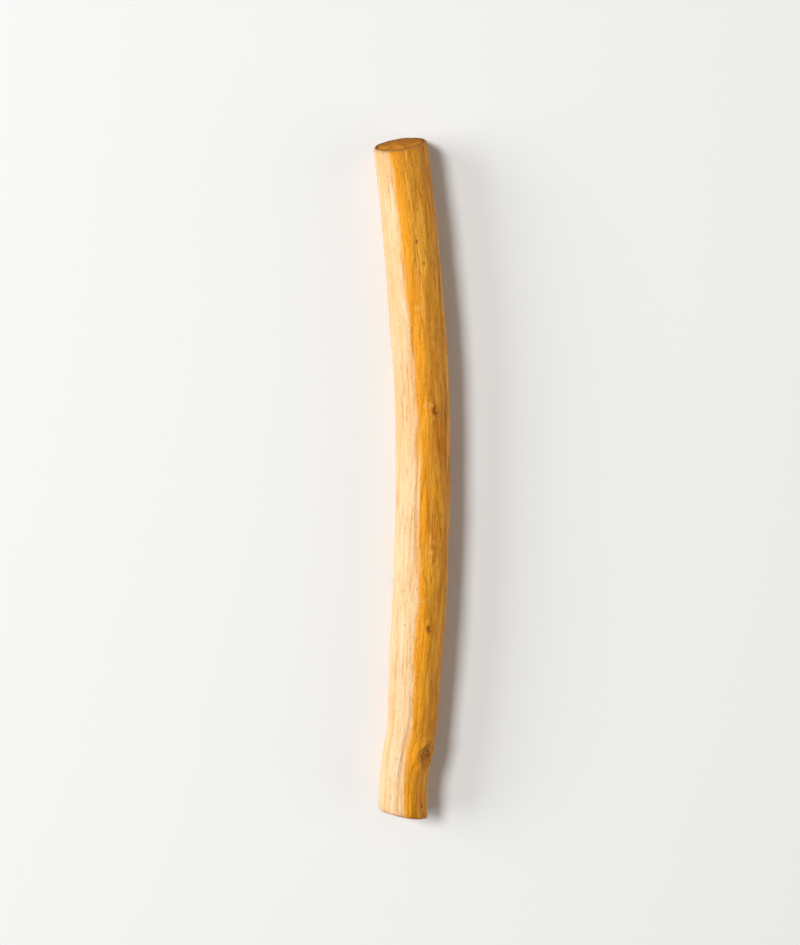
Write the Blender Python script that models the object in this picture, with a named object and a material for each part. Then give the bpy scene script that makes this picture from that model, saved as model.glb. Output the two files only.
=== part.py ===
"""A miswak chewing stick: one cut length of dried root with its bark on, lying on a surface.

Metres, +Z up. The stick lies along Y with its bow in the XY plane, its thin end at -Y,
its underside on z = 0, and the origin below the middle of its bounding box.
"""

import math

import bmesh
import bpy
import numpy as np
from mathutils import Vector, noise

MM = 0.001

# Driving dimensions
LENGTH = 150 * MM
THICK_RADIUS = 6.0 * MM

# The stick from its thin end to its thick end: place along the length, sideways bow and
# girth, as shares of the half length, the thick radius and the thick radius.
STATIONS = [
    (-1.000, -0.310, 0.905),
    (-0.880, -0.250, 0.875),
    (-0.815, -0.160, 0.880),
    (-0.740, 0.015, 0.905),
    (-0.560, 0.165, 0.955),
    (-0.290, 0.350, 0.985),
    (-0.020, 0.435, 0.990),
    (0.230, 0.385, 1.000),
    (0.490, 0.200, 1.005),
    (0.760, -0.105, 1.000),
    (1.000, -0.455, 0.985),
]

# How far each sawn end leans out of square, as rise along the stick per metre across it.
# The thick end's face looks up, and its lean dies away within a few centimetres of the end.
THIN_CUT = {"side_slope": -0.186, "top_slope": -0.020}
THICK_CUT = {"side_slope": 0.150, "top_slope": -0.420}
LEAN_FADE = 12  # power of the place along the stick with which the thick end's lean fades

# Worn edges of the two ends: how far they reach along the stick and in from the bark.
THIN_EDGE = {"reach": 0.55 * MM, "inset": 0.40 * MM}
THICK_EDGE = {"reach": 0.80 * MM, "inset": 0.50 * MM}
EDGE_STEPS = 3

# Scars where rootlets left the root: place along the length, angle round it from +X,
# size, how far the collar stands up and how far the middle sinks.
KNOTS = [
    {"along": -60.0 * MM, "angle": 44, "size": 2.3 * MM, "collar": 0.40 * MM, "dent": 0.42 * MM},
    {"along": 13.9 * MM, "angle": 61, "size": 1.2 * MM, "collar": 0.20 * MM, "dent": 0.25 * MM},
    {"along": -33.0 * MM, "angle": 66, "size": 1.0 * MM, "collar": 0.16 * MM, "dent": 0.22 * MM},
    {"along": 49.0 * MM, "angle": 316, "size": 1.9 * MM, "collar": 0.40 * MM, "dent": 0.42 * MM},
    {"along": 32.0 * MM, "angle": 226, "size": 1.7 * MM, "collar": 0.34 * MM, "dent": 0.36 * MM},
    {"along": -24.0 * MM, "angle": 221, "size": 2.1 * MM, "collar": 0.42 * MM, "dent": 0.34 * MM},
]
KNOT_STRETCH = 1.35  # a scar is longer along the grain than across it
# A scar's profile: distances from its middle, in units of its size
KNOT_SWELLING = {"share_of_collar": 0.6, "reach": 1.7}
KNOT_COLLAR = {"distance": 0.85, "half_width": 0.35}
KNOT_DENT_REACH = 0.45

# Bark and section
OVAL = 0.022  # how far the section departs from round, as a share of the radius
OVAL_LEAN = math.radians(25)
GRAIN_TWIST = math.radians(14) / LENGTH  # the grain winds slowly round the stick
SWELL_DEPTH = 0.12 * MM
SWELL_GRAIN = {"round": 0.75, "along": 17 * MM, "seed": 3.0}
RIDGE_DEPTH = 0.15 * MM
RIDGE_GRAIN = {"round": 1.9, "along": 26 * MM, "seed": 11.0}
FURROW_DEPTH = 0.20 * MM
FURROW_GRAIN = {"round": 1.45, "along": 34 * MM, "seed": 23.0}
FURROW_WIDTH = 0.30  # of the noise's own height
FURROW_SHARPNESS = 1.5

# The stick touches the surface near its ends and its middle, and clears it in between.
PRESSED_FLAT = 0.24 * MM
ARCH_HEIGHT = 0.30 * MM
ARCH_SPAN = 0.45 * LENGTH

# Mesh of the faceted solid
SIDES = 54
RINGS = 78  # between the worn edges
KNOT_RING_SHARE = 1.6  # how much closer the rings stand at a scar
KNOT_RING_REACH = 3.5 * MM
RING_SAMPLES = 2000


def clear_scene():
    for obj in list(bpy.data.objects):
        bpy.data.objects.remove(obj)


def smooth_value(rows, column, at):
    """A column of rows at a place along their first column, on one smooth curve through them."""
    places = [row[0] for row in rows]
    values = [row[column] for row in rows]
    last = len(rows) - 1
    slopes = []
    for i in range(len(rows)):
        before, after = max(i - 1, 0), min(i + 1, last)
        slopes.append((values[after] - values[before]) / (places[after] - places[before]))
    at = min(max(at, places[0]), places[last])
    i = max(k for k in range(last) if places[k] <= at)
    span = places[i + 1] - places[i]
    t = (at - places[i]) / span
    start = (1 + 2 * t) * (1 - t) ** 2 * values[i] + t * (1 - t) ** 2 * span * slopes[i]
    end = t**2 * (3 - 2 * t) * values[i + 1] + t**2 * (t - 1) * span * slopes[i + 1]
    return start + end


def bow(along):
    """Sideways place of the stick's centreline."""
    return THICK_RADIUS * smooth_value(STATIONS, 1, along / (LENGTH / 2))


def girth(along):
    """Mean radius of the stick."""
    return THICK_RADIUS * smooth_value(STATIONS, 2, along / (LENGTH / 2))


def grain_noise(grain, angle, along):
    """Noise from -1 to 1 on the bark, drawn out along the grain and seamless round the stick."""
    turned = angle + GRAIN_TWIST * along
    return noise.noise(
        Vector(
            (
                grain["round"] * math.cos(turned),
                grain["round"] * math.sin(turned),
                along / grain["along"] + grain["seed"],
            )
        )
    )


def furrow_relief(angle, along):
    """Soft lengthwise furrows, along the lines where the noise changes sign."""
    closeness = 1 - abs(grain_noise(FURROW_GRAIN, angle, along)) / FURROW_WIDTH
    return -FURROW_DEPTH * max(closeness, 0) ** FURROW_SHARPNESS


def knot_distance(knot, angle, along):
    """Distance from the middle of a scar, in units of its size."""
    round_the_stick = (angle - math.radians(knot["angle"]) + math.pi) % math.tau - math.pi
    across = round_the_stick * girth(along) / knot["size"]
    lengthwise = (along - knot["along"]) / (knot["size"] * KNOT_STRETCH)
    return math.hypot(across, lengthwise)


def hump(distance, reach):
    """A soft bump: 1 in the middle, fading to nothing within about twice its reach."""
    return math.exp(-((distance / reach) ** 2))


def knot_relief(angle, along):
    """A swelling with a raised collar round a sunken middle, for every scar."""
    relief = 0.0
    for knot in KNOTS:
        distance = knot_distance(knot, angle, along)
        swelling = KNOT_SWELLING["share_of_collar"] * knot["collar"]
        relief += swelling * hump(distance, KNOT_SWELLING["reach"])
        relief += knot["collar"] * hump(distance - KNOT_COLLAR["distance"], KNOT_COLLAR["half_width"])
        relief -= knot["dent"] * hump(distance, KNOT_DENT_REACH)
    return relief


def edge_inset(from_end, edge):
    """How far the bark draws in where an end's edge is worn round."""
    if from_end >= edge["reach"]:
        return 0.0
    return edge["inset"] * (1 - math.sqrt(1 - (1 - from_end / edge["reach"]) ** 2))


def bark_radius(angle, along, from_thin_end, from_thick_end):
    oval = 1 + OVAL * math.cos(2 * (angle - OVAL_LEAN))
    relief = SWELL_DEPTH * grain_noise(SWELL_GRAIN, angle, along)
    relief += RIDGE_DEPTH * grain_noise(RIDGE_GRAIN, angle, along)
    relief += furrow_relief(angle, along)
    relief += knot_relief(angle, along)
    worn = edge_inset(from_thin_end, THIN_EDGE) + edge_inset(from_thick_end, THICK_EDGE)
    return girth(along) * oval + relief - worn


def centre_height(along):
    """Height of the centreline: on the surface at the ends and middle, arched in between."""
    arch = ARCH_HEIGHT * (1 - math.cos(math.tau * along / ARCH_SPAN)) / 2
    return girth(along) * (1 - OVAL * math.cos(2 * OVAL_LEAN)) - PRESSED_FLAT + arch


def axis_ends():
    """Where the centreline meets the two sawn faces, so that the whole stick has its length."""
    half = LENGTH / 2
    thin_lean = math.hypot(THIN_CUT["side_slope"], THIN_CUT["top_slope"])
    thick_lean = math.hypot(THICK_CUT["side_slope"], THICK_CUT["top_slope"])
    thin = -half + thin_lean * (girth(-half) - THIN_EDGE["inset"])
    thick = half - thick_lean * (girth(half) - THICK_EDGE["inset"])
    return thin, thick


def ring_places(thin, thick):
    """Places of the mesh's rings: close together at the worn edges and at the scars."""
    fine = np.linspace(thin + THIN_EDGE["reach"], thick - THICK_EDGE["reach"], RING_SAMPLES)
    density = np.ones_like(fine)
    for knot in KNOTS:
        density += KNOT_RING_SHARE * np.exp(-(((fine - knot["along"]) / KNOT_RING_REACH) ** 2))
    grown = np.cumsum(density)
    middle = np.interp(np.linspace(grown[0], grown[-1], RINGS), grown, fine)
    steps = [1 - math.cos(math.pi / 2 * i / EDGE_STEPS) for i in range(EDGE_STEPS)]
    thin_edge = [thin + THIN_EDGE["reach"] * step for step in steps]
    thick_edge = [thick - THICK_EDGE["reach"] * step for step in steps]
    return thin_edge + [float(place) for place in middle] + thick_edge[::-1]


def place_on_stick(angle, along, share, ends):
    """Point of the solid: share is 1 on the bark and 0 on the centreline."""
    thin, thick = ends
    radius = share * bark_radius(angle, along, along - thin, thick - along)
    across = radius * math.cos(angle)
    up = max(radius * math.sin(angle), -centre_height(along))
    blend = (along - thin) / (thick - thin)
    side_slope = THIN_CUT["side_slope"] * (1 - blend) + THICK_CUT["side_slope"] * blend
    top_slope = THIN_CUT["top_slope"] * (1 - blend) + THICK_CUT["top_slope"] * blend**LEAN_FADE
    return Vector(
        (
            bow(along) + across,
            along + side_slope * across + top_slope * up,
            centre_height(along) + up,
        )
    )


def straight_blank(ring_count):
    """A plain cylinder, one unit in radius and length, with one ring of points per place."""
    bm = bmesh.new()
    bmesh.ops.create_cone(
        bm, cap_ends=True, segments=SIDES, radius1=1, radius2=1, depth=1
    )
    long_edges = [e for e in bm.edges if abs(e.verts[0].co.z - e.verts[1].co.z) > 0.5]
    bmesh.ops.subdivide_edges(bm, edges=long_edges, cuts=ring_count - 2)
    caps = [f for f in bm.faces if len(f.verts) > 4]
    bmesh.ops.poke(bm, faces=caps)
    return bm


def shape_stick(bm, places):
    """Moves the blank's points to the bark and the sawn faces."""
    ends = (places[0], places[-1])
    for vertex in bm.verts:
        ring = round((vertex.co.z + 0.5) * (len(places) - 1))
        share = 1.0 if vertex.co.xy.length > 0.5 else 0.0
        angle = math.atan2(vertex.co.y, vertex.co.x)
        vertex.co = place_on_stick(angle, places[ring], share, ends)


def centre_on_origin(bm):
    """Puts the middle of the bounding box over the origin."""
    low = [min(v.co[axis] for v in bm.verts) for axis in range(2)]
    high = [max(v.co[axis] for v in bm.verts) for axis in range(2)]
    middle = Vector(((low[0] + high[0]) / 2, (low[1] + high[1]) / 2, 0))
    bmesh.ops.translate(bm, verts=bm.verts, vec=-middle)


def bark_material():
    material = bpy.data.materials.new("bark")
    material.use_nodes = True
    shader = material.node_tree.nodes["Principled BSDF"]
    shader.inputs["Base Color"].default_value = (0.68, 0.34, 0.07, 1)
    shader.inputs["Roughness"].default_value = 0.62
    shader.inputs["Metallic"].default_value = 0.0
    return material


def make_stick(collection):
    places = ring_places(*axis_ends())
    bm = straight_blank(len(places))
    shape_stick(bm, places)
    centre_on_origin(bm)
    bmesh.ops.recalc_face_normals(bm, faces=bm.faces)
    mesh = bpy.data.meshes.new("stick")
    bm.to_mesh(mesh)
    bm.free()
    mesh.shade_smooth()
    mesh.set_sharp_from_angle(angle=math.radians(40))
    mesh.materials.append(bark_material())
    stick = bpy.data.objects.new("stick", mesh)
    collection.objects.link(stick)
    return stick


def main():
    clear_scene()
    collection = bpy.data.collections.new("miswak_stick")
    bpy.context.scene.collection.children.link(collection)
    make_stick(collection)


main()
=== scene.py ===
# A miswak stick: a cut length of dried root with its bark on, seen from straight above
import math

import bmesh
import bpy
import numpy as np
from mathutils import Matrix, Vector, noise


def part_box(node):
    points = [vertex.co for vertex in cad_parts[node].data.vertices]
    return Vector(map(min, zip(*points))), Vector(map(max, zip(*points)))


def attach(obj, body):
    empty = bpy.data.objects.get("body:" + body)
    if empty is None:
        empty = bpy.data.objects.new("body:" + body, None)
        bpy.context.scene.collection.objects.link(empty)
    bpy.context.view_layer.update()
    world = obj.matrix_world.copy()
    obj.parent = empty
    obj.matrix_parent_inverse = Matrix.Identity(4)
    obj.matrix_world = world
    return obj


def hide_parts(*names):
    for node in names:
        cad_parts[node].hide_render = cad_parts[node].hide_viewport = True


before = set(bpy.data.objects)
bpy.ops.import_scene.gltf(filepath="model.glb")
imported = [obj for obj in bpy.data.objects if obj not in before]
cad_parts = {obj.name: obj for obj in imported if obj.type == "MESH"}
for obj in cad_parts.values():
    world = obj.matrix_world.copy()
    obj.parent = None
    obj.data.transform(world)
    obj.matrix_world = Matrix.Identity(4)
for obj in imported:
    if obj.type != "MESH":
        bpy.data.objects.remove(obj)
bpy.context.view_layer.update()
mm = 0.001


def deselectAll():
    if bpy.context.object and bpy.context.object.mode != "OBJECT":
        bpy.ops.object.mode_set(mode="OBJECT")
    bpy.ops.object.select_all(action="DESELECT")


def makeActive(piece):
    deselectAll()
    piece.select_set(True)
    bpy.context.view_layer.objects.active = piece


# Camera, as the photograph was taken
photoView = {
    "pixels": (800, 945),
    "pixelsPerMm": 4.567,  # at the middle of the stick's thickness
    "stickMiddle": (412, 475.7),  # pixel of the middle of the stick's box
    "distance": 402 * mm,  # from the lens to the middle of the stick
    "sensor": 36.0,
    "nearest": 10 * mm,
}


def addCamera():
    v = photoView
    wide, tall = v["pixels"]
    lens = v["pixelsPerMm"] * v["distance"] / mm * v["sensor"] / tall
    low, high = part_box("stick")
    right = (v["stickMiddle"][0] - wide / 2) / v["pixelsPerMm"] * mm
    below = (v["stickMiddle"][1] - tall / 2) / v["pixelsPerMm"] * mm
    deselectAll()
    bpy.ops.object.camera_add(location=(-right, below, (low[2] + high[2]) / 2 + v["distance"]))
    camera = bpy.context.object
    camera.name = "photoCamera"
    camera.data.lens = lens
    camera.data.sensor_width = v["sensor"]
    camera.data.clip_start = v["nearest"]
    bpy.context.scene.camera = camera
    print("camera: lens", round(lens, 1), "mm")


# Light and floor
studio = {
    "floorRadius": 1.9,
    "floorSides": 128,
    "floorColor": (0.79, 0.812, 0.83, 1),
    "floorRoughness": 0.8,
    "floorShine": 0.2,
    "skyColor": (0.92, 0.93, 0.95, 1),
    "skyStrength": 0.16,  # soft light from all round
    "backdropColor": (0.83, 0.83, 0.82, 1),  # what the camera sees beyond the floor
    "viewTransform": "Standard",
}
lamps = [
    {
        "name": "windowLeft",
        "at": (-1.9, 0.1, 0.88),
        "size": (1.8, 1.0),
        "power": 30.0,
        "color": (1.0, 0.98, 0.95),
        "inReflections": True,
    },
    {
        "name": "keyLeft",
        "at": (-0.75, 0.25, 1.32),
        "size": (0.44, 0.44),
        "power": 17.0,
        "color": (1.0, 0.98, 0.95),
        "inReflections": True,
    },
    {
        "name": "fillRight",
        "at": (1.6, -0.3, 0.62),
        "size": (1.4, 1.4),
        "power": 11.5,
        "color": (1.0, 0.88, 0.70),
        "inReflections": False,
    },
]


def addLamp(lamp):
    deselectAll()
    bpy.ops.object.light_add(type="AREA", location=lamp["at"])
    light = bpy.context.object
    light.name = lamp["name"]
    light.data.shape = "RECTANGLE"
    light.data.size, light.data.size_y = lamp["size"]
    light.data.energy = lamp["power"]
    light.data.color = lamp["color"]
    light.visible_glossy = lamp["inReflections"]
    light.rotation_euler = Vector(lamp["at"]).to_track_quat("Z", "Y").to_euler()


def addStudio():
    s = studio
    deselectAll()
    bpy.ops.mesh.primitive_circle_add(
        vertices=s["floorSides"], radius=s["floorRadius"], fill_type="NGON", location=(0, 0, 0)
    )
    floor = bpy.context.object
    floor.name = "floor"
    finish = bpy.data.materials.new("paleFloor")
    finish.use_nodes = True
    shader = finish.node_tree.nodes["Principled BSDF"]
    shader.inputs["Base Color"].default_value = s["floorColor"]
    shader.inputs["Roughness"].default_value = s["floorRoughness"]
    shader.inputs["Specular IOR Level"].default_value = s["floorShine"]
    floor.data.materials.append(finish)
    world = bpy.data.worlds.new("paleSky")
    world.use_nodes = True
    tree = world.node_tree
    sky = tree.nodes["Background"]
    sky.inputs["Color"].default_value = s["skyColor"]
    sky.inputs["Strength"].default_value = s["skyStrength"]
    backdrop = newNode(tree, "ShaderNodeBackground", {"Color": s["backdropColor"]}).outputs[0]
    seen = newNode(tree, "ShaderNodeLightPath").outputs["Is Camera Ray"]
    shown = newNode(tree, "ShaderNodeMixShader", {0: seen, 1: sky.outputs[0], 2: backdrop}).outputs[0]
    tree.links.new(shown, tree.nodes["World Output"].inputs["Surface"])
    world.cycles_visibility.glossy = False
    bpy.context.scene.world = world
    bpy.context.scene.view_settings.view_transform = s["viewTransform"]
    for lamp in lamps:
        addLamp(lamp)
    print("studio: floor and", len(lamps), "lamps")


# The stick's form, the same as the solid's: place along it, sideways bow and girth,
# as shares of the half length, the thick radius and the thick radius
stickForm = {
    "length": 150 * mm,
    "radius": 6.0 * mm,
    "stations": [
        (-1.000, -0.310, 0.905),
        (-0.880, -0.250, 0.875),
        (-0.815, -0.160, 0.880),
        (-0.740, 0.015, 0.905),
        (-0.560, 0.165, 0.955),
        (-0.290, 0.350, 0.985),
        (-0.020, 0.435, 0.990),
        (0.230, 0.385, 1.000),
        (0.490, 0.200, 1.005),
        (0.760, -0.105, 1.000),
        (1.000, -0.455, 0.985),
    ],
    "thinCut": {"side": -0.186, "top": -0.020, "reach": 0.55 * mm, "inset": 0.40 * mm},
    "thickCut": {"side": 0.150, "top": -0.420, "reach": 0.80 * mm, "inset": 0.50 * mm},
    "leanFade": 12,  # power of the place along the stick with which the thick end's lean fades
    "oval": 0.022,
    "ovalLean": math.radians(25),
    "grainTwist": math.radians(14) / (150 * mm),
    "pressedFlat": 0.24 * mm,
    "archHeight": 0.30 * mm,
    "archSpan": 0.45 * 150 * mm,
}

# Scars of rootlets: the first three face up, the rest are on the lower side
scars = [
    {"along": -60.0 * mm, "angle": 44, "size": 2.3 * mm, "collar": 0.40 * mm, "dent": 0.42 * mm},
    {"along": 13.9 * mm, "angle": 61, "size": 1.2 * mm, "collar": 0.20 * mm, "dent": 0.25 * mm},
    {"along": -33.0 * mm, "angle": 66, "size": 1.0 * mm, "collar": 0.16 * mm, "dent": 0.22 * mm},
    {"along": 49.0 * mm, "angle": 316, "size": 1.9 * mm, "collar": 0.40 * mm, "dent": 0.42 * mm},
    {"along": 32.0 * mm, "angle": 226, "size": 1.7 * mm, "collar": 0.34 * mm, "dent": 0.36 * mm},
    {"along": -24.0 * mm, "angle": 221, "size": 2.1 * mm, "collar": 0.42 * mm, "dent": 0.34 * mm},
]
# A scar's profile across it: distances from its middle in units of its size, heights as shares of its collar
scarShape = {
    "stretch": 1.35,  # along the grain
    "swelling": 0.6,
    "swellingReach": 1.7,
    "collarAt": 0.85,
    "collarHalfWidth": 0.35,
    "dentReach": 0.45,
    "ripple": 0.06,
    "ripplesPerSize": 15,
    "rippleReach": 1.6,
}

# Small dark specks left by hair roots, which barely dent the bark
specks = [
    {"along": -72.6 * mm, "angle": 34, "size": 0.55 * mm},
    {"along": -71.2 * mm, "angle": 40, "size": 0.45 * mm},
    {"along": -18.5 * mm, "angle": 64, "size": 0.45 * mm},
    {"along": 50.7 * mm, "angle": 77, "size": 0.40 * mm},
    {"along": 45.7 * mm, "angle": 68, "size": 0.45 * mm},
    {"along": 60.5 * mm, "angle": 192, "size": 0.50 * mm},
    {"along": 3.0 * mm, "angle": 196, "size": 0.55 * mm},
    {"along": -47.0 * mm, "angle": 291, "size": 0.60 * mm},
    {"along": 22.0 * mm, "angle": 338, "size": 0.50 * mm},
    {"along": -52.0 * mm, "angle": 203, "size": 0.40 * mm},
]
speckDent = 0.07 * mm

# Bark relief: round is the noise's radius, so a larger one gives finer ridges;
# along is the length of one wave down the grain
broadRelief = {
    "swell": {"round": 0.75, "along": 17 * mm, "seed": 3.0, "depth": 0.12 * mm},
    "ridge": {"round": 1.9, "along": 26 * mm, "seed": 11.0, "depth": 0.15 * mm},
    "furrow": {
        "round": 1.45,
        "along": 34 * mm,
        "seed": 23.0,
        "depth": 0.20 * mm,
        "width": 0.30,
        "sharpness": 1.5,
    },
}
fineRelief = {
    "wrinkle": {
        "round": 4.6,
        "along": 15 * mm,
        "seed": 41.0,
        "depth": 0.10 * mm,
        "width": 0.34,
        "sharpness": 1.3,
        "onSmoothBark": 0.35,
    },
    "crease": {
        "round": 8.2,
        "along": 10 * mm,
        "seed": 57.0,
        "depth": 0.05 * mm,
        "width": 0.40,
        "sharpness": 1.0,
        "onSmoothBark": 0.3,
        "lostInFlake": 0.7,
    },
    "patch": {"round": 1.2, "along": 19 * mm, "seed": 71.0, "soft": 0.35},  # of rough and smooth bark
    "stria": {"round": 13.0, "along": 5 * mm, "seed": 83.0, "depth": 0.030 * mm},
    "flake": {"round": 1.7, "along": 8 * mm, "seed": 97.0, "depth": 0.11 * mm, "edge": (0.20, 0.26)},
    "flakeEdge": {"round": 6.0, "along": 2.6 * mm, "seed": 109.0, "share": 0.30},
    "crack": {
        "round": 3.4,
        "along": 1.1 * mm,
        "seed": 127.0,
        "depth": 0.07 * mm,
        "width": 0.10,
        "sharpness": 1.0,
        "inGrooves": (0.35, 0.8),
        "furrowShare": 0.6,
    },
}
# How much each kind of groove darkens the bark
grooveShares = {"furrow": 0.55, "wrinkle": 0.75, "crease": 0.45, "crack": 0.6, "stria": -0.25}
# The painted glare: a pale flank painted into the bark's colour in place of a reflection of the lamps;
# the angle round the stick where it starts, at the thin and the thick end, and where it stops.
# A band of painted lit gold runs beside its start
paintedGlare = {
    "from": (math.radians(85), math.radians(116)),
    "to": math.radians(201),
    "softStart": math.radians(8),
    "softStop": math.radians(16),
    "wander": {"round": 2.6, "along": 13 * mm, "seed": 139.0, "angle": math.radians(6)},
    "fringe": {"round": 9.0, "along": 7 * mm, "seed": 151.0, "angle": math.radians(7)},
    # where the painted lit band starts, before the painted glare
    "paintedLitBand": math.radians(24),
}
lenticels = {
    "count": 90,
    "across": 0.75 * mm,
    "along": 0.36 * mm,
    "sizes": (0.6, 1.4),
    "height": 0.09 * mm,
    "slitDepth": 0.7,
    "slitWidth": 0.3,
    "reach": 3 * mm,
    "seed": 5,
}
rimDark = {"reach": 0.45 * mm, "thickShare": 0.8}

stickMesh = {
    "sides": 220,
    "firstCuts": 20,
    "secondCuts": 20,
    "thinEdgeRings": 6,
    "thickEdgeRings": 10,
    "ringSamples": 4000,
    "scarCloseness": 1.0,
    "scarReach": 3.5 * mm,
    # rings across a cut face, as shares of its radius
    "capShares": (0.985, 0.965, 0.945, 0.925, 0.905, 0.885, 0.86, 0.80)
    + (0.72, 0.62, 0.51, 0.40, 0.29, 0.19, 0.10, 0.04),
    "barkShare": 0.995,  # a point farther out than this is on the bark, not on a cut face
    "sharpestSmooth": math.radians(60),
}


def smoothStep(low, high, value):
    t = np.clip((value - low) / (high - low), 0, 1)
    return t * t * (3 - 2 * t)


def throughStations(column, along):
    rows = np.array(stickForm["stations"])
    places, values = rows[:, 0], rows[:, column]
    last = len(rows) - 1
    before = np.maximum(np.arange(last + 1) - 1, 0)
    after = np.minimum(np.arange(last + 1) + 1, last)
    slopes = (values[after] - values[before]) / (places[after] - places[before])
    at = np.clip(np.asarray(along) / (stickForm["length"] / 2), places[0], places[last])
    i = np.clip(np.searchsorted(places, at, side="right") - 1, 0, last - 1)
    span = places[i + 1] - places[i]
    t = (at - places[i]) / span
    start = (1 + 2 * t) * (1 - t) ** 2 * values[i] + t * (1 - t) ** 2 * span * slopes[i]
    end = t**2 * (3 - 2 * t) * values[i + 1] + t**2 * (t - 1) * span * slopes[i + 1]
    return stickForm["radius"] * (start + end)


def grainNoise(grain, angle, along):
    turned = angle + stickForm["grainTwist"] * along
    x = grain["round"] * np.cos(turned)
    y = grain["round"] * np.sin(turned)
    z = along / grain["along"] + grain["seed"]
    return np.array([noise.noise(point) for point in zip(x.tolist(), y.tolist(), z.tolist())])


def groove(grain, angle, along):
    closeness = np.maximum(1 - np.abs(grainNoise(grain, angle, along)) / grain["width"], 0)
    return closeness ** grain["sharpness"]


def apart(angle, along, middleAngle, middleAlong):
    roundStick = (angle - middleAngle + math.pi) % math.tau - math.pi
    return roundStick * throughStations(2, along), along - middleAlong


def edgeInset(fromEnd, cut):
    t = np.clip(1 - fromEnd / cut["reach"], 0, 1)
    return cut["inset"] * (1 - np.sqrt(1 - t**2))


def scarRelief(angle, along):
    shape = scarShape
    height = np.zeros_like(angle)
    scarNear = np.zeros_like(angle)
    for scar in scars:
        across, lengthwise = apart(angle, along, math.radians(scar["angle"]), scar["along"])
        away = np.hypot(across / scar["size"], lengthwise / (scar["size"] * shape["stretch"]))
        height += shape["swelling"] * scar["collar"] * np.exp(-((away / shape["swellingReach"]) ** 2))
        fromCollar = (away - shape["collarAt"]) / shape["collarHalfWidth"]
        height += scar["collar"] * np.exp(-(fromCollar**2))
        height -= scar["dent"] * np.exp(-((away / shape["dentReach"]) ** 2))
        ripple = np.cos(away * shape["ripplesPerSize"]) * np.exp(-((away / shape["rippleReach"]) ** 2))
        height += shape["ripple"] * scar["collar"] * ripple
        scarNear = np.maximum(scarNear, np.exp(-(away**2)))
    return height, scarNear


def speckMarks(angle, along):
    speckNear = np.zeros_like(angle)
    for speck in specks:
        across, lengthwise = apart(angle, along, math.radians(speck["angle"]), speck["along"])
        away = np.hypot(across, lengthwise / scarShape["stretch"]) / speck["size"]
        speckNear = np.maximum(speckNear, np.exp(-(away**2)))
    return speckNear


def barkRelief(angle, along):
    marks = {}
    height, marks["scar"] = scarRelief(angle, along)
    marks["speck"] = speckMarks(angle, along)
    height -= speckDent * marks["speck"]
    for name in ("swell", "ridge"):
        height += broadRelief[name]["depth"] * grainNoise(broadRelief[name], angle, along)
    furrow = groove(broadRelief["furrow"], angle, along)
    height -= broadRelief["furrow"]["depth"] * furrow
    f = fineRelief
    rough = smoothStep(-f["patch"]["soft"], f["patch"]["soft"], grainNoise(f["patch"], angle, along))
    grooves = {"furrow": furrow}
    for name in ("wrinkle", "crease"):
        onSmooth = f[name]["onSmoothBark"]
        grooves[name] = groove(f[name], angle, along) * (onSmooth + (1 - onSmooth) * rough)
    torn = smoothStep(*f["crack"]["inGrooves"], grooves["wrinkle"] + f["crack"]["furrowShare"] * furrow)
    grooves["crack"] = groove(f["crack"], angle, along) * torn
    grooves["stria"] = grainNoise(f["stria"], angle, along)
    flakeField = grainNoise(f["flake"], angle, along)
    flakeField += f["flakeEdge"]["share"] * grainNoise(f["flakeEdge"], angle, along)
    flake = smoothStep(*f["flake"]["edge"], flakeField)
    height -= f["wrinkle"]["depth"] * grooves["wrinkle"]
    height -= f["crease"]["depth"] * grooves["crease"] * (1 - f["crease"]["lostInFlake"] * flake)
    height -= f["crack"]["depth"] * grooves["crack"]
    height += f["stria"]["depth"] * grooves["stria"]
    height -= f["flake"]["depth"] * flake
    marks["furrow"] = np.clip(sum(share * grooves[name] for name, share in grooveShares.items()), 0, 1)
    marks["flake"] = flake
    marks["lenticel"] = lenticelRelief(angle, along)
    marks["paintedGlare"], marks["paintedLitBand"] = glareShares(angle, along)
    height += lenticels["height"] * marks["lenticel"]
    return height, marks


def lenticelRelief(angle, along):
    p = lenticels
    draw = np.random.default_rng(p["seed"])
    half = stickForm["length"] / 2
    spots = np.zeros_like(angle)
    for _ in range(p["count"]):
        middleAngle = draw.uniform(0, math.tau)
        middleAlong = draw.uniform(-half, half)
        size = draw.uniform(*p["sizes"])
        near = np.abs(along - middleAlong) < p["reach"]
        across, lengthwise = apart(angle[near], along[near], middleAngle, middleAlong)
        away = (across / (p["across"] * size)) ** 2 + (lengthwise / (p["along"] * size)) ** 2
        slit = p["slitDepth"] * np.exp(-((lengthwise / (p["slitWidth"] * p["along"])) ** 2))
        spots[near] += np.exp(-away) * (1 - slit)
    return np.clip(spots, 0, 1)


# Where the painted glare and the painted lit band beside it lie round the stick
def glareShares(angle, along):
    p = paintedGlare
    half = stickForm["length"] / 2
    place = np.clip((along + half) / (2 * half), 0, 1)
    wander = sum(p[name]["angle"] * grainNoise(p[name], angle, along) for name in ("wander", "fringe"))
    at = angle % math.tau + wander
    start = p["from"][0] + (p["from"][1] - p["from"][0]) * place
    begun = smoothStep(start - p["softStart"], start + p["softStart"], at)
    pale = begun * (1 - smoothStep(p["to"] - p["softStop"], p["to"] + p["softStop"], at))
    bandStart = start - p["paintedLitBand"]
    gold = smoothStep(bandStart - p["softStart"], bandStart + p["softStart"], at) * (1 - begun)
    return pale, gold


def axisEnds():
    half = stickForm["length"] / 2
    ends = []
    for sign, cut in ((-1, stickForm["thinCut"]), (1, stickForm["thickCut"])):
        lean = math.hypot(cut["side"], cut["top"])
        ends.append(sign * (half - lean * (float(throughStations(2, sign * half)) - cut["inset"])))
    return ends


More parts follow.
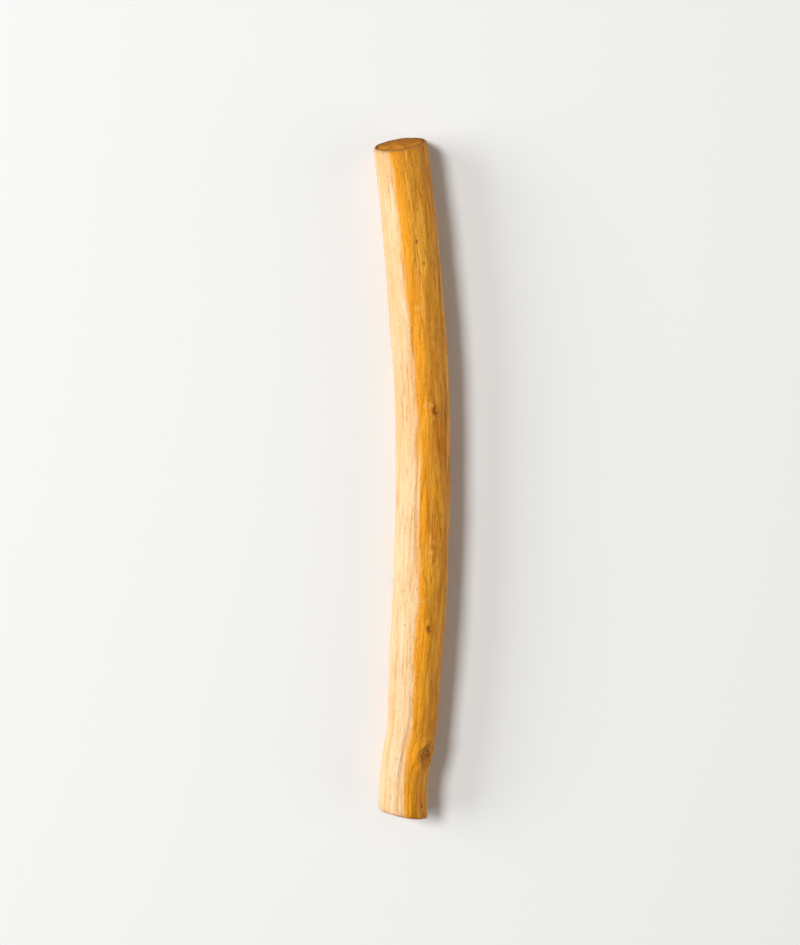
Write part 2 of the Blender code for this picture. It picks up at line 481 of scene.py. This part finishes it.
def ringPlaces(count):
    thin, thick = axisEnds()
    thinCut, thickCut = stickForm["thinCut"], stickForm["thickCut"]
    thinRings, thickRings = stickMesh["thinEdgeRings"], stickMesh["thickEdgeRings"]
    fine = np.linspace(thin + thinCut["reach"], thick - thickCut["reach"], stickMesh["ringSamples"])
    density = np.ones_like(fine)
    for scar in scars:
        away = (fine - scar["along"]) / stickMesh["scarReach"]
        density += stickMesh["scarCloseness"] * np.exp(-(away**2))
    grown = np.cumsum(density)
    middle = np.interp(np.linspace(grown[0], grown[-1], count - thinRings - thickRings), grown, fine)
    thinEdge = thin + thinCut["reach"] * (1 - np.cos(math.pi / 2 * np.arange(thinRings) / thinRings))
    thickEdge = thick - thickCut["reach"] * (1 - np.cos(math.pi / 2 * np.arange(thickRings) / thickRings))
    return np.concatenate([thinEdge, middle, thickEdge[::-1]])


def selectEdges(piece, wanted):
    mesh = bmesh.from_edit_mesh(piece.data)
    for edge in mesh.edges:
        edge.select = wanted(edge)
    mesh.select_flush_mode()
    bmesh.update_edit_mesh(piece.data)


def selectFaces(piece, wanted):
    mesh = bmesh.from_edit_mesh(piece.data)
    for face in mesh.faces:
        face.select = wanted(face)
    mesh.select_flush_mode()
    bmesh.update_edit_mesh(piece.data)


def addStickBlank():
    m = stickMesh
    sameRing = 1e-4  # points closer in height than this are on one ring
    deselectAll()
    bpy.ops.mesh.primitive_cylinder_add(
        vertices=m["sides"], radius=1, depth=1, end_fill_type="NGON", location=(0, 0, 0)
    )
    blank = bpy.context.object
    bpy.ops.object.mode_set(mode="EDIT")
    bpy.ops.mesh.select_mode(type="EDGE")
    for cuts in (m["firstCuts"] - 1, m["secondCuts"] - 1):
        selectEdges(blank, lambda edge: abs(edge.verts[0].co.z - edge.verts[1].co.z) > sameRing)
        bpy.ops.mesh.subdivide(number_cuts=cuts)
    bpy.ops.mesh.select_mode(type="FACE")
    selectFaces(blank, lambda face: len(face.verts) > 4)
    share = 1.0
    for inner in m["capShares"]:
        bpy.ops.mesh.inset(thickness=share - inner, depth=0)
        share = inner
    bpy.ops.mesh.poke()
    bpy.ops.object.mode_set(mode="OBJECT")
    return blank


# The two cut faces: saw marks and roughness, a broken gap under the bark, a sunken pith and drying checks.
# Places and sizes without a length are shares of the face's radius
cutRelief = {
    "roughSize": 0.5 * mm,
    "roughDepth": 0.035 * mm,
    "seeds": (31.0, 47.0),  # of the thin and the thick end
    "sawAngle": 0.5,
    "sawWave": 0.21 * mm,
    "sawDepth": 0.012 * mm,
    "plainRim": (0.97, 1.0),
    "gapAt": 0.885,
    "gapWidth": 0.016,
    "gapDepth": 0.07 * mm,
    "gapNoise": {"round": 2.2, "seedStep": 5, "open": (-0.1, 0.3)},
    "pithWidth": 0.06,
    "pithDepth": 0.10 * mm,
    "checks": 4,
    "checkFrom": (0.15, 0.45),
    "checkTo": (0.60, 0.86),
    "checkFades": (0.1, 0.12),
    "checkWidth": 0.065 * mm,
    "checkDepth": 0.20 * mm,
    "checkBends": ((0.06, 14, 3), (0.03, 37, 1)),
    "pithMark": 0.5,
    "gapMark": 0.4,
}


def checkRelief(share, angle, radius, seed):
    c = cutRelief
    draw = np.random.default_rng(int(seed))
    checks = np.zeros_like(share)
    for _ in range(c["checks"]):
        middle = draw.uniform(0, math.tau)
        inner, outer = draw.uniform(*c["checkFrom"]), draw.uniform(*c["checkTo"])
        bend = sum(width * np.sin(share * waves + middle * turn) for width, waves, turn in c["checkBends"])
        off = ((angle - middle - bend + math.pi) % math.tau - math.pi) * share * radius
        fadeIn, fadeOut = c["checkFades"]
        there = smoothStep(inner, inner + fadeIn, share) * (1 - smoothStep(outer - fadeOut, outer, share))
        checks = np.maximum(checks, np.exp(-((off / c["checkWidth"]) ** 2)) * there)
    return checks


def capRelief(share, angle, radius, seed):
    c = cutRelief
    across, up = share * radius * np.cos(angle), share * radius * np.sin(angle)
    places = zip(across / c["roughSize"], up / c["roughSize"])
    rough = np.array([noise.noise((x, y, seed)) for x, y in places]) * c["roughDepth"]
    alongSaw = across * math.cos(c["sawAngle"]) + up * math.sin(c["sawAngle"])
    saw = np.sin(alongSaw / c["sawWave"]) * c["sawDepth"]
    g = c["gapNoise"]
    circle = zip(g["round"] * np.cos(angle), g["round"] * np.sin(angle))
    broken = np.array([noise.noise((x, y, seed + g["seedStep"])) for x, y in circle])
    gap = np.exp(-(((share - c["gapAt"]) / c["gapWidth"]) ** 2)) * smoothStep(*g["open"], broken)
    pith = np.exp(-((share / c["pithWidth"]) ** 2))
    checks = checkRelief(share, angle, radius, seed)
    depth = (rough + saw) * (1 - smoothStep(*c["plainRim"], share))
    depth += c["gapDepth"] * gap + c["pithDepth"] * pith + c["checkDepth"] * checks
    return depth, np.clip(checks + c["pithMark"] * pith + c["gapMark"] * gap, 0, 1)


# A flat map of the surface: the bark as two strips side by side, each half the stick long,
# split along the underside, with the two cut ends above them
flatMap = {
    "name": "OFBake",
    "margin": 0.004,
    "stripTop": 0.755,
    "endRadius": 0.115,
    "endMiddles": ((0.122, 0.878), (0.378, 0.878)),
}


def layFlat(piece, share, angle, ring, places):
    m = flatMap
    mesh = piece.data
    sides, lastRing = stickMesh["sides"], len(places) - 1
    half = lastRing // 2
    vertex = np.empty(len(mesh.loops), np.int32)
    mesh.loops.foreach_get("vertex_index", vertex)
    first = np.empty(len(mesh.polygons), np.int32)
    corners = np.empty(len(mesh.polygons), np.int32)
    onEnd = np.empty(len(mesh.polygons), np.int32)
    mesh.polygons.foreach_get("loop_start", first)
    mesh.polygons.foreach_get("loop_total", corners)
    mesh.polygons.foreach_get("material_index", onEnd)
    column = np.rint((angle + math.pi / 2) / (math.tau / sides)).astype(int)[vertex] % sides
    widest = np.repeat(np.maximum.reduceat(column, first) - np.minimum.reduceat(column, first), corners)
    column = np.where((widest > sides / 2) & (column < sides / 2), column + sides, column)
    upper = np.repeat(np.minimum.reduceat(ring[vertex], first) >= half, corners)
    width = 0.5 - 2 * m["margin"]
    u = m["margin"] + width * (1 - column / sides) + 0.5 * upper
    low, high = np.where(upper, places[half], places[0]), np.where(upper, places[lastRing], places[half])
    v = m["margin"] + (m["stripTop"] - m["margin"]) * (places[ring[vertex]] - low) / (high - low)
    across, up = share * np.cos(angle), share * np.sin(angle)
    for isThick, side in ((False, 1), (True, -1)):
        here = (np.repeat(onEnd, corners) == 1) & (upper == isThick)
        middle = m["endMiddles"][int(isThick)]
        u[here] = middle[0] + side * m["endRadius"] * across[vertex[here]]
        v[here] = middle[1] + m["endRadius"] * up[vertex[here]]
    while mesh.uv_layers:
        mesh.uv_layers.remove(mesh.uv_layers[0])
    layer = mesh.uv_layers.new(name=m["name"])
    layer.data.foreach_set("uv", np.column_stack((u, v)).astype(np.float32).ravel())


def shapeStick(piece):
    count = stickMesh["firstCuts"] * stickMesh["secondCuts"] + 1
    places = ringPlaces(count)
    thin, thick = places[0], places[-1]
    points = np.empty(len(piece.data.vertices) * 3)
    piece.data.vertices.foreach_get("co", points)
    points = points.reshape(-1, 3)
    share = np.hypot(points[:, 0], points[:, 1])
    onBark = share > stickMesh["barkShare"]
    share = np.where(onBark, 1.0, share)
    angle = np.arctan2(points[:, 1], points[:, 0])
    ring = np.rint((points[:, 2] + 0.5) * (count - 1)).astype(int)
    along = places[ring]
    # a face across the end takes its rim's bark outline, so that its rings follow the rim
    height, marks = barkRelief(angle, along)
    girth = throughStations(2, along)
    oval = 1 + stickForm["oval"] * np.cos(2 * (angle - stickForm["ovalLean"]))
    worn = edgeInset(along - thin, stickForm["thinCut"]) + edgeInset(thick - along, stickForm["thickCut"])
    rim = girth * oval + height - worn
    depth = np.zeros_like(share)
    marks["check"] = np.zeros_like(share)
    for sign, seed in zip((-1, 1), cutRelief["seeds"]):
        onCap = ~onBark & (np.sign(points[:, 2]) == sign)
        depth[onCap], marks["check"][onCap] = capRelief(share[onCap], angle[onCap], rim[onCap], seed)
        depth[onCap] *= -sign
    radius = share * rim
    blend = (along - thin) / (thick - thin)
    sideSlope = stickForm["thinCut"]["side"] * (1 - blend) + stickForm["thickCut"]["side"] * blend
    topSlope = stickForm["thinCut"]["top"] * (1 - blend)
    topSlope += stickForm["thickCut"]["top"] * blend ** stickForm["leanFade"]
    arch = stickForm["archHeight"] * (1 - np.cos(math.tau * along / stickForm["archSpan"])) / 2
    flattening = 1 - stickForm["oval"] * math.cos(2 * stickForm["ovalLean"])
    middle = girth * flattening - stickForm["pressedFlat"] + arch
    across, up = radius * np.cos(angle), np.maximum(radius * np.sin(angle), -middle)
    placed = np.column_stack(
        (
            throughStations(1, along) + across,
            along + sideSlope * across + topSlope * up + depth,
            middle + up,
        )
    )
    low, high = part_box("stick")
    for axis in range(2):
        placed[:, axis] += (low[axis] + high[axis] - placed[:, axis].min() - placed[:, axis].max()) / 2
    piece.data.vertices.foreach_set("co", placed.ravel())
    marks["endShare"] = share
    thinRim = np.exp(-(along - thin) / rimDark["reach"])
    thickRim = rimDark["thickShare"] * np.exp(-(thick - along) / rimDark["reach"])
    marks["rim"] = np.maximum(thinRim, thickRim)
    for name, values in marks.items():
        layer = piece.data.attributes.new(name, "FLOAT", "POINT")
        layer.data.foreach_set("value", values.astype(np.float32))
    straight = np.column_stack((across, up, along)) / mm
    layer = piece.data.attributes.new("grainPlace", "FLOAT_VECTOR", "POINT")
    layer.data.foreach_set("vector", straight.astype(np.float32).ravel())
    layFlat(piece, share, angle, ring, places)
    piece.data.update()


def addStick(bark, endWood):
    piece = addStickBlank()
    piece.name = "barkedStick"
    piece.data.materials.append(bark)
    piece.data.materials.append(endWood)
    faceUp = 0.9
    for face in piece.data.polygons:
        face.material_index = int(abs(face.normal.z) > faceUp)
    shapeStick(piece)
    makeActive(piece)
    bpy.ops.object.mode_set(mode="EDIT")
    bpy.ops.mesh.select_all(action="SELECT")
    bpy.ops.mesh.normals_make_consistent(inside=False)  # laying the stick down turned it inside out
    bpy.ops.object.mode_set(mode="OBJECT")
    bpy.ops.object.shade_smooth_by_angle(angle=stickMesh["sharpestSmooth"])
    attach(piece, "root")
    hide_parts("stick")
    print("stick:", len(piece.data.polygons), "faces")
    return piece


def newNode(tree, kind, inputs=None, **settings):
    node = tree.nodes.new(kind)
    for name, value in settings.items():
        setattr(node, name, value)
    for name, value in (inputs or {}).items():
        socket = node.inputs[name]
        if isinstance(value, bpy.types.NodeSocket):
            tree.links.new(value, socket)
        else:
            socket.default_value = value
    return node


def mixColors(tree, amount, first, second):
    # sockets 0, 6 and 7 are the Mix node's share and its two colours
    node = newNode(tree, "ShaderNodeMix", data_type="RGBA")
    for socket, value in ((node.inputs[0], amount), (node.inputs[6], first), (node.inputs[7], second)):
        if isinstance(value, bpy.types.NodeSocket):
            tree.links.new(value, socket)
        else:
            socket.default_value = value
    return node.outputs[2]


def mapRange(tree, value, low, high, toLow=0.0, toHigh=1.0):
    inputs = {"Value": value, "From Min": low, "From Max": high, "To Min": toLow, "To Max": toHigh}
    return newNode(tree, "ShaderNodeMapRange", inputs).outputs["Result"]


def mathNode(tree, operation, first, second):
    return newNode(tree, "ShaderNodeMath", {0: first, 1: second}, operation=operation).outputs[0]


def vectorNode(tree, operation, first, second=None):
    inputs = {0: first} if second is None else {0: first, 1: second}
    return newNode(tree, "ShaderNodeVectorMath", inputs, operation=operation).outputs[0]


def tint(tree, color, mark, share, shade):
    return mixColors(tree, mathNode(tree, "MULTIPLY", mark, share), color, shade)


def weightedSum(tree, marks, weights):
    total = None
    for name, weight in weights.items():
        part = mathNode(tree, "MULTIPLY", marks[name], weight)
        total = part if total is None else mathNode(tree, "ADD", total, part)
    return total


def srgb(red, green, blue):
    def linear(value):
        value /= 255
        return value / 12.92 if value <= 0.04045 else ((value + 0.055) / 1.055) ** 2.4
    return (linear(red), linear(green), linear(blue), 1)


def stretchedNoiseGroup():
    # Noise drawn out along the grain, used by the bark and by the cut ends
    group = bpy.data.node_groups.new("grainNoise", "ShaderNodeTree")
    sockets = (("Width", 1.0), ("Length", 10.0), ("Detail", 3.0), ("Roughness", 0.55), ("Seed", 0.0))
    for name, value in sockets:
        group.interface.new_socket(name, in_out="INPUT", socket_type="NodeSocketFloat").default_value = value
    group.interface.new_socket("Value", in_out="OUTPUT", socket_type="NodeSocketFloat")
    given = group.nodes.new("NodeGroupInput").outputs
    result = group.nodes.new("NodeGroupOutput").inputs["Value"]
    place = newNode(group, "ShaderNodeAttribute", attribute_name="grainPlace").outputs["Vector"]
    sizes = {"X": given["Width"], "Y": given["Width"], "Z": given["Length"]}
    size = newNode(group, "ShaderNodeCombineXYZ", sizes).outputs[0]
    at = vectorNode(group, "ADD", vectorNode(group, "DIVIDE", place, size), given["Seed"])
    inputs = {"Vector": at, "Scale": 1.0, "Detail": given["Detail"], "Roughness": given["Roughness"]}
    clouds = newNode(group, "ShaderNodeTexNoise", inputs)
    group.links.new(clouds.outputs["Fac"], result)
    return group


def spreadOut(tree, value, grain):
    # The middle part of a noise's values, spread out over the whole range
    return mapRange(tree, value, *grain["from"], *grain.get("to", (0.0, 1.0)))


def grainValue(tree, group, grain):
    node = tree.nodes.new("ShaderNodeGroup")
    node.node_tree = group
    width, length = grain["size"]
    settings = {"Width": width, "Length": length, "Detail": grain["detail"]}
    settings.update({"Roughness": grain["roughness"], "Seed": grain["seed"]})
    for name, value in settings.items():
        node.inputs[name].default_value = value
    return spreadOut(tree, node.outputs["Value"], grain) if "from" in grain else node.outputs["Value"]


def markValue(tree, name):
    return newNode(tree, "ShaderNodeAttribute", attribute_name=name).outputs["Fac"]


barkLook = {
    "gold": srgb(250, 174, 30),
    "ochre": srgb(236, 150, 18),
    "pale": srgb(253, 204, 84),
    "brown": srgb(180, 100, 14),
    "underBark": srgb(250, 186, 62),
    # colour of the painted glare, and of the furrows under it
    "glareColor": srgb(244, 220, 187),
    "glareFurrow": srgb(250, 190, 96),
    "lenticel": srgb(246, 196, 118),
    "litGold": srgb(246, 162, 4),
    "rim": srgb(136, 76, 10),
    "redBrown": srgb(128, 66, 16),
    "fissureDark": srgb(104, 54, 12),
    "scarDark": srgb(84, 43, 12),
}


# Noise in the bark: size is its width and length in mm
barkGrain = {
    "patches": {"size": (3.2, 24.0), "detail": 4, "roughness": 0.6, "seed": 4.0, "from": (0.38, 0.62)},
    "blotches": {"size": (0.85, 5.0), "detail": 5, "roughness": 0.65, "seed": 17.0, "from": (0.44, 0.64)},
    "streaks": {"size": (0.42, 11.0), "detail": 4, "roughness": 0.6, "seed": 29.0, "from": (0.42, 0.62)},
    "darkStreaks": {"size": (0.30, 8.0), "detail": 4, "roughness": 0.6, "seed": 43.0, "from": (0.53, 0.66)},
    "threads": {"size": (0.12, 4.0), "detail": 3, "roughness": 0.6, "seed": 37.0, "from": (0.30, 0.70)},
    "flecks": {"size": (0.40, 0.55), "detail": 2, "roughness": 0.5, "seed": 53.0, "from": (0.66, 0.74)},
    "split": {"size": (0.19, 3.4), "detail": 2, "roughness": 0.5, "seed": 61.0, "from": (0.60, 0.67)},
    "pucker": {"size": (1.0, 0.26), "detail": 3, "roughness": 0.6, "seed": 67.0, "from": (0.44, 0.56)},
    "grit": {"size": (0.16, 0.24), "detail": 3, "roughness": 0.6, "seed": 91.0},
    "ragged": {
        "size": (0.8, 1.1),
        "detail": 5,
        "roughness": 0.65,
        "seed": 71.0,
        "from": (0.35, 0.62),
        "to": (0.15, 1.0),
    },
}
barkMarks = ("furrow", "flake", "scar", "speck", "lenticel", "rim", "paintedGlare", "paintedLitBand")
# How far each mark takes the bark to its colour
barkShares = {
    "blotches": 0.28,
    "streaks": 0.50,
    "flake": 0.50,
    "paintedLitBand": 0.85,
    "glareFurrow": 0.45,
    "darkStreaks": 0.46,
    "threads": 0.16,
    "furrow": 0.56,
    "fissures": 0.55,
    "flecks": 0.6,
    "lenticel": 0.4,
    "rim": 0.7,
    "hiddenByGlare": 0.85,
    "hiddenByLitBand": 0.6,
    "furrowDull": 0.2,
}
# A mark's low and high value, and what they become
barkRanges = {
    "splitInBlotches": (0.15, 0.8, 0.1, 1.0),
    "glareInStreaks": (0, 1, 0.66, 0.88),
    "scarBrown": (0.15, 0.7, 0.0, 0.75),
    "scarDark": (0.6, 0.95, 0.0, 0.7),
    "speckBrown": (0.2, 0.7, 0.0, 0.8),
    "dull": (0, 1, 0.30, 0.42),
}
barkBumps = {
    "threads": 0.40,
    "streaks": 0.35,
    "blotches": -0.35,
    "fissures": -0.9,
    "pucker": 0.30,
    "grit": 0.7,
}
barkShine = {"Specular IOR Level": 0.5, "Specular Tint": (1.0, 0.82, 0.50, 1)}
fineBump = {"Strength": 0.9, "Distance": 0.12 * mm}


def addBump(tree, shader, relief):
    bump = newNode(tree, "ShaderNodeBump", {"Height": relief, **fineBump})
    tree.links.new(bump.outputs["Normal"], shader.inputs["Normal"])


def setSockets(shader, values):
    for name, value in values.items():
        shader.inputs[name].default_value = value


def barkColor(tree, marks):
    c, shares, ranges = barkLook, barkShares, barkRanges
    color = mixColors(tree, marks["patches"], c["ochre"], c["gold"])
    for name, shade in (("blotches", "brown"), ("streaks", "pale"), ("flake", "underBark")):
        color = tint(tree, color, marks[name], shares[name], c[shade])
    # painted glare: the flank takes a pale colour in place of a reflection of the lamps
    cover = mapRange(tree, marks["streaks"], *ranges["glareInStreaks"])
    pale = mathNode(tree, "MULTIPLY", marks["paintedGlare"], cover)
    color = mixColors(tree, pale, color, c["glareColor"])
    # painted light: a band of saturated lit gold beside the painted glare
    color = tint(tree, color, marks["paintedLitBand"], shares["paintedLitBand"], c["litGold"])
    glareFurrow = mathNode(tree, "MULTIPLY", marks["furrow"], pale)
    color = tint(tree, color, glareFurrow, shares["glareFurrow"], c["glareFurrow"])
    # dark marks are faint under the painted glare and in the painted lit band
    hidden = mathNode(tree, "MULTIPLY", pale, shares["hiddenByGlare"])
    grown = mathNode(tree, "SUBTRACT", 1.0, hidden)
    hidden = mathNode(tree, "MULTIPLY", marks["paintedLitBand"], shares["hiddenByLitBand"])
    grown = mathNode(tree, "SUBTRACT", grown, hidden)
    darkMarks = {"darkStreaks": "brown", "threads": "brown", "furrow": "brown", "fissures": "fissureDark"}
    for name, shade in darkMarks.items():
        seen = mathNode(tree, "MULTIPLY", marks[name], grown)
        color = tint(tree, color, seen, shares[name], c[shade])
    for name, shade in (("flecks", "redBrown"), ("lenticel", "lenticel"), ("rim", "rim")):
        color = tint(tree, color, marks[name], shares[name], c[shade])
    scarMottle = mathNode(tree, "MULTIPLY", marks["scar"], marks["ragged"])
    color = mixColors(tree, mapRange(tree, scarMottle, *ranges["scarBrown"]), color, c["redBrown"])
    color = mixColors(tree, mapRange(tree, scarMottle, *ranges["scarDark"]), color, c["scarDark"])
    speckMottle = mathNode(tree, "MULTIPLY", marks["speck"], marks["ragged"])
    return mixColors(tree, mapRange(tree, speckMottle, *ranges["speckBrown"]), color, c["redBrown"])


def makeBark(group):
    finish = bpy.data.materials.new("rootBark")
    finish.use_nodes = True
    tree = finish.node_tree
    shader = tree.nodes["Principled BSDF"]
    marks = {name: grainValue(tree, group, grain) for name, grain in barkGrain.items()}
    for name in barkMarks:
        marks[name] = markValue(tree, name)
    inBlotches = mapRange(tree, marks["blotches"], *barkRanges["splitInBlotches"])
    marks["fissures"] = mathNode(tree, "MULTIPLY", marks["split"], inBlotches)
    tree.links.new(barkColor(tree, marks), shader.inputs["Base Color"])
    dull = mapRange(tree, marks["blotches"], *barkRanges["dull"])
    inFurrows = mathNode(tree, "MULTIPLY", marks["furrow"], barkShares["furrowDull"])
    tree.links.new(mathNode(tree, "ADD", dull, inFurrows), shader.inputs["Roughness"])
    setSockets(shader, barkShine)
    addBump(tree, shader, weightedSum(tree, marks, barkBumps))
    return finish


endLook = {
    "skin": srgb(150, 88, 16),
    "bark": srgb(118, 62, 8),
    "inner": srgb(190, 116, 8),
    "wood": srgb(236, 158, 6),
    "band": srgb(196, 116, 8),
    "stain": srgb(160, 88, 6),
    "ray": srgb(186, 108, 10),
    "pore": srgb(120, 64, 8),
    "check": srgb(92, 46, 8),
    "paintedShade": srgb(112, 58, 4),
}


# Noise on the cut faces: how fast it changes round the face and out from its middle
endGrain = {
    "ragged": {
        "sideways": 7.0,
        "outwards": 5.0,
        "detail": 4,
        "seed": 3.0,
        "from": (0.3, 0.7),
        "to": (-0.018, 0.018),
    },
    "bands": {"sideways": 1.3, "outwards": 15.0, "detail": 3, "seed": 9.0, "from": (0.40, 0.62)},
    "rays": {"sideways": 16.0, "outwards": 1.6, "detail": 3, "seed": 21.0, "from": (0.50, 0.66)},
}
endStain = {"size": (1.5, 50.0), "detail": 4, "roughness": 0.6, "seed": 13.0, "from": (0.42, 0.60)}
endFibres = {"size": (0.18, 50.0), "detail": 4, "roughness": 0.65, "seed": 5.0}
endPores = {"perMm": 3.4, "dots": (0.14, 0.26, 1.0, 0.0), "inBands": (0.2, 0.9, 0.25, 1.0)}
endShares = {"bands": 0.55, "rays": 0.35, "stain": 0.60, "pores": 0.65, "check": 0.8}
# Rings of the bark, as shares of the face's radius: where each starts and is full
endRings = {"inner": (0.845, 0.885), "bark": (0.905, 0.940), "skin": (0.965, 0.990, 0.0, 0.7)}
# The faces get painted shade, darkest below and on the +X side, and their bark ring is drawn darker below:
# places in mm, and how dark it gets there
endShading = {
    "barkRing": (-1.0, 4.0, 1.0, 0.35),
    "below": (-5.0, 1.5, 0.62, 0.0),
    "side": (0.5, 5.0, 0.0, 0.30),
}
endRoughness = 0.6
endShine = {"Roughness": 0.72, "Specular IOR Level": 0.12, "Specular Tint": (1.0, 0.72, 0.3, 1)}
endBumps = {"pores": -0.8, "rays": -0.3, "fibres": 1.0}


def acrossEnd(tree):
    place = newNode(tree, "ShaderNodeAttribute", attribute_name="grainPlace").outputs["Vector"]
    return vectorNode(tree, "MULTIPLY", place, (1, 1, 0))


def roundTheEnd(tree, grain):
    # Noise that runs round or out from the middle of a cut end
    facing = vectorNode(tree, "NORMALIZE", acrossEnd(tree))
    spread = vectorNode(tree, "MULTIPLY", facing, (grain["sideways"], grain["sideways"], 0))
    height = mathNode(tree, "MULTIPLY_ADD", markValue(tree, "endShare"), grain["outwards"])
    height.node.inputs[2].default_value = grain["seed"]
    lift = newNode(tree, "ShaderNodeCombineXYZ", {"Z": height}).outputs[0]
    at = vectorNode(tree, "ADD", spread, lift)
    inputs = {"Vector": at, "Scale": 1.0, "Detail": grain["detail"], "Roughness": endRoughness}
    return spreadOut(tree, newNode(tree, "ShaderNodeTexNoise", inputs).outputs["Fac"], grain)


def endColor(tree, marks):
    c = endLook
    color = c["wood"]
    for name, shade in (("bands", "band"), ("rays", "ray"), ("stain", "stain"), ("pores", "pore")):
        color = tint(tree, color, marks[name], endShares[name], c[shade])
    place = newNode(tree, "ShaderNodeSeparateXYZ", {0: acrossEnd(tree)})
    shifted = mathNode(tree, "ADD", markValue(tree, "endShare"), marks["ragged"])
    color = mixColors(tree, mapRange(tree, shifted, *endRings["inner"]), color, c["inner"])
    ringed = mapRange(tree, place.outputs["Y"], *endShading["barkRing"])
    color = tint(tree, color, mapRange(tree, shifted, *endRings["bark"]), ringed, c["bark"])
    color = mixColors(tree, mapRange(tree, shifted, *endRings["skin"]), color, c["skin"])
    # painted shade: the faces darken below and on the +X side
    below = mapRange(tree, place.outputs["Y"], *endShading["below"])
    side = mapRange(tree, place.outputs["X"], *endShading["side"])
    color = mixColors(tree, mathNode(tree, "ADD", below, side), color, c["paintedShade"])
    return tint(tree, color, markValue(tree, "check"), endShares["check"], c["check"])


def makeEndWood(group):
    finish = bpy.data.materials.new("sawnEndWood")
    finish.use_nodes = True
    tree = finish.node_tree
    shader = tree.nodes["Principled BSDF"]
    marks = {name: roundTheEnd(tree, grain) for name, grain in endGrain.items()}
    marks["stain"] = grainValue(tree, group, endStain)
    marks["fibres"] = grainValue(tree, group, endFibres)
    cells = newNode(tree, "ShaderNodeTexVoronoi", {"Vector": acrossEnd(tree), "Scale": endPores["perMm"]})
    dots = mapRange(tree, cells.outputs["Distance"], *endPores["dots"])
    marks["pores"] = mathNode(tree, "MULTIPLY", dots, mapRange(tree, marks["bands"], *endPores["inBands"]))
    tree.links.new(endColor(tree, marks), shader.inputs["Base Color"])
    setSockets(shader, endShine)
    addBump(tree, shader, weightedSum(tree, marks, endBumps))
    return finish


addCamera()
addStudio()
grainGroup = stretchedNoiseGroup()
addStick(makeBark(grainGroup), makeEndWood(grainGroup))
